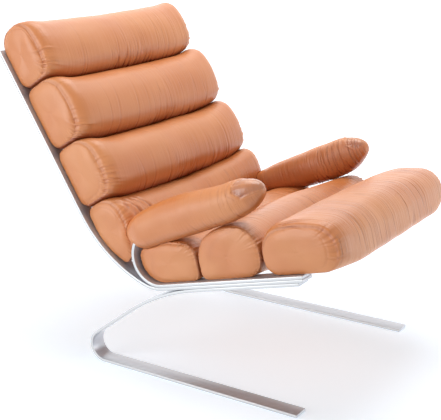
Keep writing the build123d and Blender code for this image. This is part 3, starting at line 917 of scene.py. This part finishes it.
def roll_folds(draw, name, around, seam):
    """Drawn folds of one roll: a few long ones, and short ones near its creases."""
    low, middle, high = 0.74 * around, 0.5 * around, 0.3 * around
    reach = around / 3.4
    busy, inner = (-0.2 * seam, 0.86 * seam), (-0.8 * seam, 0.84 * seam)
    near = (-0.97 * seam, -0.66 * seam)
    fine, thin, wide = (0.0024, 0.0034), (0.0024, 0.0036), (0.0028, 0.005)
    faint, tuck = (0.0002, 0.0004), ((0.004, 0.007), (0.001, 0.002), 0.7)
    if name == "front_seat_roll":
        return fans(draw, (
            (30, inner, high, (reach / 2, 1.3 * reach), fine, faint, 0.07),
            (34, inner, low, (-1.2 * reach, -reach / 3), fine, faint, 0.07),
        ))
    rows = [
        (9, inner, low, (-1.5 * reach, -0.8 * reach), thin, (0.0007, 0.0013), 0.16),
        (16, busy, low, (-0.7 * reach, -0.35 * reach), wide, (0.0012, 0.0025), 0.24),
        (12, busy, high, (0.3 * reach, 0.9 * reach), thin, (0.0003, 0.0006), 0.16),
    ]
    if name == "lumbar_roll":
        rows += [(6, near, middle, (0.05, 0.1), *tuck), (5, near, middle, (-0.09, -0.05), *tuck)]
    rows.append((18, inner, low, (-0.3 * reach, -0.15 * reach), fine, (0.0004, 0.0008), 0.3))
    return fans(draw, rows)


def seam_puckers(count, seed, busy):
    """Uneven gathers along a seam, stronger where the leather is tucked in, from -1 to 1."""
    draw = np.random.default_rng(seed)
    turns = np.arange(count) / count
    gathers = np.zeros(count)
    for number in (17, 26, 35, 47, 61):
        gathers += np.sin(2 * math.pi * number * turns + draw.uniform(0, 6.28))
    away = np.abs((turns - busy + 0.5) % 1 - 0.5)
    strength = 0.2 + 1.1 * bell(away, 0.1)
    wander = 1 + 0.5 * np.sin(2 * math.pi * 3 * turns + draw.uniform(0, 6.28))
    return gathers / 2.6 * strength * wander


def roll_relief(name, x, count, around, seam):
    """Height of a roll's folds, waves, seams and gathers, and how dark its leather is made: painted
    shade in fold valleys and tucked gathers, and a darker seam line.
    """
    seed = sum(map(ord, name))
    s = np.arange(count) / count * around
    folds = roll_folds(np.random.default_rng(seed), name, around, seam)
    drawn = fold_height(x, s, around, folds, 0.08)
    pucker = seam_puckers(count, seed + 1, 0.66 if name in BACK_ROLLS else 0.3)
    tucked = np.clip(-pucker, 0, 1)
    edge = seam - np.abs(x)
    line = bell(edge, SEAM_LINE)[:, None]
    height, tone = np.zeros((2, len(x) + 2 * PANEL, count))
    sides = slice(PANEL, -PANEL)
    height[sides] = drawn + waves(x, s, around, seed, 14, (0.09, 0.3), 0.0009)
    height[sides] += np.outer(np.exp(-edge / 0.016), pucker) * GATHERS.get(name, USUAL_GATHERS)
    height[sides] -= line * 0.0011
    # Painted shade in the drawn folds' valleys and in the tucked gathers by the seam, and a darker
    # seam line.
    tone[sides] = np.clip(-drawn / 0.004, 0, 0.4) + line * 0.2
    tone[sides] += np.outer(np.exp(-edge / 0.008), tucked) * 0.22
    turns = 2 * math.pi * np.arange(count) / count
    uneven = sum(
        tall * np.sin(number * turns + shift * seed)
        for number, shift, tall in ((2, 1, 1), (3, 2, 1), (5, 3, 0.7))
    )
    for number, share in enumerate(PANEL_RINGS):
        distance = share * PANEL_REACH
        row = np.exp(-distance / 0.007) * pucker * 0.0013
        row -= bell(distance, SEAM_LINE) * 0.0009
        row += uneven * smooth(share / 0.25) * (1 - share) * 0.0011
        for place in (PANEL - 1 - number, len(x) + PANEL + number):
            height[place] = row
            # Painted shade in the end panel's tucked gathers.
            tone[place] = np.exp(-distance / 0.006) * tucked * 0.22
    return height, tone


def roll_marks(name, x, fronts, lows):
    """Painted shade that darkens a roll's leather towards its low (or rear) edge and in its creases
    by the strips, and how wrinkled it is.
    """
    # Painted shade: darker on the side towards the low (or rear) edge and, on all but the front
    # seat roll, towards the high edge by the strips, where the rolls meet.
    crease_shade = smooth((lows - 0.35) / 0.6) * smooth((0.75 - fronts) / 0.7) * 0.85
    if name != "front_seat_roll":
        crease_shade += smooth((-lows - 0.7) / 0.3) * smooth((0.3 - fronts) / 0.5) * 0.6
    wrinkles = 0.25 + 0.5 * smooth(lows + 0.5)
    wrinkles[PANEL:-PANEL] *= (0.35 + 0.65 * smooth((x + 0.22) / 0.3))[:, None]
    if name in SEAT_WRINKLES:
        wrinkles[:] = SEAT_WRINKLES[name]
    for panel in (slice(PANEL), slice(-PANEL, None)):
        crease_shade[panel], wrinkles[panel] = 0, 0.4
    return crease_shade, wrinkles


def roll_piece(name, tracks, sizes, material):
    """One leather roll: swollen form, end seams, and folds that run round it."""
    form = RollForm(name, tracks, sizes)
    x, count = roll_stations(sizes, sizes.step), sizes.around
    tube, points, faces = roll_tube(form, x, count)
    piece = shell(name, points, faces)
    normals = normals_of(piece)[:-2].reshape(-1, count, 3)
    middle = tube[len(x) // 2]
    around = np.linalg.norm(middle - np.roll(middle, 1, 0), axis=1).sum()
    height, tone = roll_relief(name, x, count, around, sizes.seam)
    down = form.low[0] - form.high[0]
    fronts = normals[:, :, 1:] @ direction((form.low[1] + form.high[1]) / 2)
    lows = normals[:, :, 1:] @ (down / np.linalg.norm(down))
    moved = points.copy()
    grid = moved[:-2].reshape(-1, count, 3)
    free = smooth((fronts + 0.1) / 0.5)[PANEL:-PANEL, :, None]
    grid[PANEL:-PANEL] += resample(*filled(form, sizes), x, count) * free
    grid += normals * height[:, :, None]
    crease_shade, wrinkles = roll_marks(name, x, fronts, lows)
    # The fold mark carries the painted shade, with the darker seam line.
    marks = {"fold": tone + crease_shade, "wrinkle": wrinkles, "shine": np.zeros(tone.shape)}
    finish_leather(piece, moved, marks, points, material)
    return piece


# ---------------------------------------------------------------- arm sleeves
def eased(value, spots, sizes):
    """Smooth curve through a few sizes given at their spots."""
    fine = np.linspace(spots[0], spots[-1], EASE_SPOTS)
    line = np.interp(fine, spots, sizes)
    padded = np.concatenate([np.full(EASE, line[0]), line, np.full(EASE, line[-1])])
    window = np.hanning(2 * EASE + 1)
    return np.interp(value, fine, np.convolve(padded, window / window.sum(), "valid"))


class SleeveForm:
    """Rings of one arm sleeve along the arm's straight part."""

    def __init__(self, side_name, tracks, sizes, frame_width):
        self.row = SLEEVES[side_name]
        self.side = SIDES[side_name]
        self.centre = self.side * (frame_width / 2 - sizes.inset)
        start, heading, _ = tracks.arm.pieces[-1]
        self.start, self.forward = start, direction(heading)
        self.upward = direction(heading - math.pi / 2)

    def surface(self, spot):
        """Underside, top and half width at a spot along the arm, in metres."""
        row = self.row
        first, last = row["spots"][0], row["spots"][-1]

        def rounded(rear, front):
            back = max(0.0, 1 - (spot - first) / rear)
            ahead = max(0.0, 1 - (last - spot) / front)
            return math.sqrt(max(0.0, 1 - back * back)) * math.sqrt(max(0.0, 1 - ahead * ahead))

        tip = eased(spot, (first, last), row["tips"])
        under, top, half = (
            eased(spot, row["spots"], row[key]) for key in ("under", "top", "half_width")
        )
        under_rounds, top_rounds = zip(row["rear_rounds"], row["front_rounds"])
        under = tip + (under - tip) * rounded(*under_rounds)
        top = tip + (top - tip) * rounded(*top_rounds)
        return under * MM, top * MM, half * rounded(*WIDTH_ROUNDS) * MM

    def place(self, spot, across, above):
        """Points at a spot along the arm, given across and above its middle line."""
        line = self.start + self.forward * spot * MM
        sideways = line[None, :] + np.outer(above, self.upward)
        return np.column_stack([self.centre + across, sideways])

    def ring(self, spot, count):
        """The sleeve's outline at a spot along the arm, with count points."""
        under, top, half = self.surface(spot)
        turns = np.linspace(0, 2 * math.pi, count, endpoint=False)
        across, above = (
            np.sign(part) * np.abs(part) ** (2 / SLEEVE_SQUARENESS)
            for part in (np.cos(turns), np.sin(turns))
        )
        return self.place(spot, half * across, (top - under) / 2 * above + (top + under) / 2)


def sleeve_spots(row):
    """Places along a sleeve in millimetres, closer together towards its tips."""
    first, last = row["spots"][0], row["spots"][-1]
    turns = np.linspace(0.035, math.pi - 0.035, SLEEVE_RINGS)
    even = np.linspace(0, 1, SLEEVE_RINGS)
    share = 0.55 * (1 - np.cos(turns)) / 2 + 0.45 * even
    share = (share - share[0]) / (share[-1] - share[0]) * 0.9992 + 0.0004
    return first + (last - first) * share


def sleeve_folds(draw, side, last):
    """Drawn folds of one sleeve, which run from its underside up its two flanks."""
    quarter, under = SLEEVE_GIRTH / 4, 0.75 * SLEEVE_GIRTH
    front, whole = (0.42 * last, 0.86 * last), (-0.05, 0.8 * last)
    inner = (quarter / 2, quarter) if side < 0 else (-quarter, -quarter / 2)
    outer = (-inner[1], -inner[0])
    thin, plain = (0.0018, 0.003), ((0.0018, 0.0026), (0.0003, 0.0006), 0.3)
    return fans(draw, (
        (26, front, under, inner, thin, (0.0006, 0.0013), 0.4),
        (10, front, under, outer, thin, (0.0004, 0.0008), 0.4),
        (22, whole, under, (-quarter, -quarter / 3), *plain),
        (22, whole, under, (quarter / 3, quarter), *plain),
    ))


def sleeve_piece(side_name, tracks, sizes, frame_width, material):
    """One arm sleeve with its slanted cap seam, piping and cross folds."""
    form = SleeveForm(side_name, tracks, sizes, frame_width)
    row, near = form.row, form.side < 0
    spots, count = sleeve_spots(row), SLEEVE_AROUND
    grid = np.array([form.ring(spot, count) for spot in spots])
    tips = [
        form.place(row["spots"][end], np.zeros(1), np.array([row["tips"][end] * MM]))[0]
        for end in (0, -1)
    ]
    points, faces = closed_tube(grid, *tips)
    piece = shell(f"arm_sleeve_{side_name}", points, faces)
    normals = normals_of(piece)[:-2].reshape(-1, count, 3)
    outward = (grid[:, :, 0] - form.centre) * form.side
    above = (grid[:, :, 1:] - form.start) @ form.upward
    x, s = spots * MM, np.arange(count) / count * SLEEVE_GIRTH
    last = x[-1]
    draw = np.random.default_rng(41 + form.side)
    drawn = fold_height(x, s, SLEEVE_GIRTH, sleeve_folds(draw, form.side, last), 0.06)
    inland = smooth((last - x) / 0.03)[:, None] * smooth((x - x[0]) / 0.03)[:, None]
    uneven = waves(x, s, SLEEVE_GIRTH, 7 + form.side, 10, (0.06, 0.2), 0.0009)
    cap, nail = cap_seam(x, last, outward, above, s / SLEEVE_GIRTH, draw)
    height = (drawn + uneven) * inland + cap
    # Painted shade in the fold valleys and cap seam grooves, and on the lower part of the cap's
    # nail panel, stronger on the right sleeve.
    cap_shade = 0.34 if near else 0.1
    tone = np.clip(-drawn * inland / 0.0018, 0, 0.5) + np.clip(-cap / 0.003, 0, cap_shade)
    tone += cap_shade * nail * smooth((0.034 - above) / 0.02)
    # Painted shade: darker where the sleeve faces down and where it faces in towards the seat.
    tone += 0.35 * smooth((-normals @ np.array([0, *form.upward]) - 0.35) / 0.6)
    tone += 0.4 * smooth((-normals[:, :, 0] * form.side - 0.35) / 0.45)
    wrinkles = 0.35 + 0.65 * smooth((x - 0.1) / 0.16)[:, None] * np.ones(count)
    if near:
        wrinkles *= 0.45
    points[:-2] += (normals * height[:, :, None]).reshape(-1, 3)
    run = np.stack([np.broadcast_to(x[:, None], outward.shape), outward, above], axis=-1)
    run = np.concatenate([run.reshape(-1, 3), [(x[0], 0, 0), (last, 0, 0)]])
    marks = {"fold": tone, "wrinkle": wrinkles, "shine": nail}
    finish_leather(piece, points, marks, run, material)
    return piece


def cap_slant(outward, above):
    """How far the cap's seam lies behind the sleeve's front tip."""
    return 0.054 + 0.016 * outward / 0.045 - 0.016 * smooth((0.022 - above) / 0.022)


def cap_seam(x, last, outward, above, turn, draw):
    """Height of the front cap's seam, its piping and puckers, and how far each point is on it."""
    ahead = x[:, None] - (last - cap_slant(outward, above))
    edge = 0.001 + 0.05 * ahead
    over = smooth((above - edge + 0.004) / 0.008)
    height = np.zeros(ahead.shape)
    for tall, behind, wide in CAP_LINES:
        height += tall * bell(ahead + behind, wide) * over
    nail = smooth(ahead / 0.006) * over
    height -= 0.0014 * nail * bell(ahead, 0.02)
    pucker = np.zeros(len(turn))
    for turns in (9, 14, 19, 27):
        pucker += np.sin(2 * math.pi * turns * turn + draw.uniform(0, 6.28))
    reach = np.exp(-np.abs(ahead) / np.where(ahead > 0, 0.012, 0.006))
    height += 0.0003 * reach * pucker[None, :] * over
    ridge = bell(above - edge, 0.0024) - 0.5 * smooth((edge - above) / 0.01)
    span = smooth(ahead / 0.012) * smooth(outward / 0.012)
    ends = smooth((last - x)[:, None] / 0.012)
    return height + 0.0013 * ridge * span * ends, nail


def press_in(piece, sleeves, way):
    """Moves a roll's points that lie inside an arm sleeve out of it, along a direction."""
    places = points_of(piece)
    way = Vector(way).normalized()
    for sleeve in sleeves:
        low = np.array(sleeve.bound_box).min(axis=0) - 0.004
        high = np.array(sleeve.bound_box).max(axis=0) + 0.004
        near = np.nonzero(np.all((places > low) & (places < high), axis=1))[0]
        for number in near.tolist():
            start = Vector(places[number])
            struck, spot, normal, _ = sleeve.ray_cast(start, way)
            if struck and normal.dot(way) > 0:
                places[number] = spot + way * PRESS_GAP
    piece.data.vertices.foreach_set("co", places.ravel())
    piece.data.update()


# ---------------------------------------------------------------- operators
class CHAIR_OT_strips(bpy.types.Operator):
    """Model the base, back and arm strips of both sides"""

    bl_idname = "chair.strips"
    bl_label = "Spring-steel strips"

    def execute(self, context):
        sizes = context.scene.chair_strips
        finish = context.scene.chair_finishes
        steel = steel_material("satin_steel", finish, sizes.width)
        tracks = Tracks(sizes)
        rows = (("base", tracks.base), ("back", tracks.back), ("arm", tracks.arm))
        for side_name, side in SIDES.items():
            for kind, track in rows:
                piece = strip_piece(f"{kind}_strip_{side_name}.steel", side, track, sizes, steel)
                if kind == "base":
                    runner, spring = f"base_runner_{side_name}", f"base_spring_{side_name}"
                    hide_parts(runner, spring)
                    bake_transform(piece)
                else:
                    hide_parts(f"{kind}_strip_{side_name}")
                    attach(piece, SEAT_BODY)
        return {"FINISHED"}


class CHAIR_OT_sleeves(bpy.types.Operator):
    """Model the leather sleeves of both arms"""

    bl_idname = "chair.sleeves"
    bl_label = "Arm sleeves"

    def execute(self, context):
        scene = context.scene
        tracks = Tracks(scene.chair_strips)
        leather = leather_material("arm_leather", scene.chair_finishes)
        width = scene.chair_strips.frame_width
        for side_name in SIDES:
            piece = sleeve_piece(side_name, tracks, scene.chair_arms, width, leather)
            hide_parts(f"arm_sleeve_cover_{side_name}", f"arm_sleeve_foam_{side_name}")
            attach(piece, SEAT_BODY)
        return {"FINISHED"}


class CHAIR_OT_rolls(bpy.types.Operator):
    """Model the seven leather rolls"""

    bl_idname = "chair.rolls"
    bl_label = "Leather rolls"

    def execute(self, context):
        scene = context.scene
        tracks = Tracks(scene.chair_strips)
        leather = leather_material("roll_leather", scene.chair_finishes)
        sleeves = [bpy.data.objects[f"arm_sleeve_{side_name}"] for side_name in SIDES]
        for name in ROLLS:
            piece = roll_piece(name, tracks, scene.chair_leather, leather)
            if name in PRESSED:
                press_in(piece, sleeves, PRESSED[name])
            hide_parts(f"{name}_cover", f"{name}_foam")
            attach(piece, SEAT_BODY)
        return {"FINISHED"}


class CHAIR_OT_fittings(bpy.types.Operator):
    """Finish the bolts, slats and floor glides"""

    bl_idname = "chair.fittings"
    bl_label = "Bolts, slats and glides"

    def execute(self, context):
        finish = context.scene.chair_finishes
        zinc = plain_metal("zinc_plate", tuple(finish.zinc), 0.36)
        plastic = plastic_material("glide_plastic", tuple(finish.glide))
        for name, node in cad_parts.items():
            if name.startswith("floor_glides"):
                material = plastic
            elif "bolts" in name or name.endswith("_slat"):
                material = zinc
            else:
                continue
            node.data.materials.clear()
            node.data.materials.append(material)
        return {"FINISHED"}


class CHAIR_OT_studio(bpy.types.Operator):
    """Set up the camera, the pale floor and the soft lights"""

    bl_idname = "chair.studio"
    bl_label = "Studio"

    def execute(self, context):
        scene = context.scene
        studio = scene.chair_studio
        scene.view_settings.view_transform = "Standard"
        flat = math.cos(studio.elevation)
        across, ahead = -math.sin(studio.azimuth) * flat, math.cos(studio.azimuth) * flat
        look = Vector((across, ahead, -math.sin(studio.elevation)))
        camera = bpy.data.objects.new("camera", bpy.data.cameras.new("camera"))
        scene.collection.objects.link(camera)
        camera.location = studio.place
        camera.rotation_euler = look.to_track_quat("-Z", "Y").to_euler()
        camera.data.lens = studio.lens
        camera.data.sensor_width = 36.0
        scene.camera = camera
        self.floor(studio)
        self.sky(scene, studio)
        self.light("key", (0.35, 0.1, 2.7), (0, 0, 0.3), 1.8, studio.key)
        self.light("side", (-2.8, 1.3, 1.1), (-0.1, 0, 0.4), 1.8, studio.fill)
        self.light("front", (0.9, -2.3, 0.45), (0.1, -0.4, 0.4), 1.2, studio.front)
        return {"FINISHED"}

    def light(self, name, place, target, size, power):
        """Square soft box that points at a target."""
        lamp = bpy.data.lights.new(name, "AREA")
        lamp.shape, lamp.size, lamp.energy = "SQUARE", size, power
        holder = bpy.data.objects.new(name, lamp)
        bpy.context.scene.collection.objects.link(holder)
        holder.location = place
        way = Vector(target) - Vector(place)
        holder.rotation_euler = way.to_track_quat("-Z", "Y").to_euler()

    def floor(self, studio):
        """Large pale floor that shows almost white, with the chair's shadow."""
        deselect()
        bpy.ops.mesh.primitive_plane_add(size=40, location=(0, 0, 0))
        plane = bpy.context.object
        plane.name = "floor"
        material, tree, shader = new_material("pale_floor")
        rays = add_node(tree, "ShaderNodeLightPath").outputs
        place = add_node(tree, "ShaderNodeTexCoord").outputs["Object"]
        away = add_node(tree, "ShaderNodeVectorMath", {0: place}, operation="LENGTH")
        white = ramp(tree, away.outputs["Value"], 0.9, 2.4, studio.floor_glow, 1.0)
        plain = pick(tree, rays["Is Glossy Ray"], studio.bounce, studio.floor_sheen)
        feed(tree, shader, {
            "Base Color": (*studio.floor, 1), "Roughness": 0.9,
            "Emission Color": (0.92, 0.955, 0.985, 1),
            "Emission Strength": pick(tree, rays["Is Camera Ray"], plain, white),
        })
        plane.data.materials.append(material)

    def sky(self, scene, studio):
        """Even light from all round, which the camera and gloss see as white."""
        world = bpy.data.worlds.new("studio")
        world.use_nodes = True
        scene.world = world
        tree = world.node_tree
        rays = add_node(tree, "ShaderNodeLightPath").outputs
        seen = pick(tree, rays["Is Camera Ray"], studio.sky, 1.0)
        strength = pick(tree, rays["Is Glossy Ray"], seen, studio.sheen)
        feed(tree, tree.nodes["Background"], {"Color": (1, 1, 1, 1), "Strength": strength})


class CHAIR_PT_panel(bpy.types.Panel):
    """Lists the chair's steps and settings"""

    bl_label = "Lounge Chair"
    bl_idname = "CHAIR_PT_panel"
    bl_space_type = "VIEW_3D"
    bl_region_type = "UI"
    bl_category = "Lounge Chair"

    def draw(self, context):
        layout = self.layout
        for step in STEPS:
            layout.operator(step.bl_idname)
        for key in GROUPS:
            box = layout.box()
            group = getattr(context.scene, key)
            for setting in group.bl_rna.properties.keys():
                if setting not in ("rna_type", "name"):
                    box.prop(group, setting)


STEPS = (
    CHAIR_OT_studio, CHAIR_OT_strips, CHAIR_OT_sleeves, CHAIR_OT_rolls, CHAIR_OT_fittings,
)
GROUPS = {
    "chair_strips": StripSizes,
    "chair_leather": LeatherSizes,
    "chair_arms": ArmSizes,
    "chair_finishes": Finishes,
    "chair_studio": Studio,
}


def register():
    """Adds the classes and the scene's settings."""
    for kind in (*GROUPS.values(), *STEPS, CHAIR_PT_panel):
        bpy.utils.register_class(kind)
    for key, kind in GROUPS.items():
        setattr(bpy.types.Scene, key, bpy.props.PointerProperty(type=kind))


def unregister():
    """Takes the classes and settings out again."""
    for key in GROUPS:
        delattr(bpy.types.Scene, key)
    for kind in reversed((*GROUPS.values(), *STEPS, CHAIR_PT_panel)):
        bpy.utils.unregister_class(kind)


def main():
    """Models the whole chair."""
    register()
    for step in STEPS:
        family, name = step.bl_idname.split(".")
        getattr(getattr(bpy.ops, family), name)()


if __name__ == "__main__":
    main()
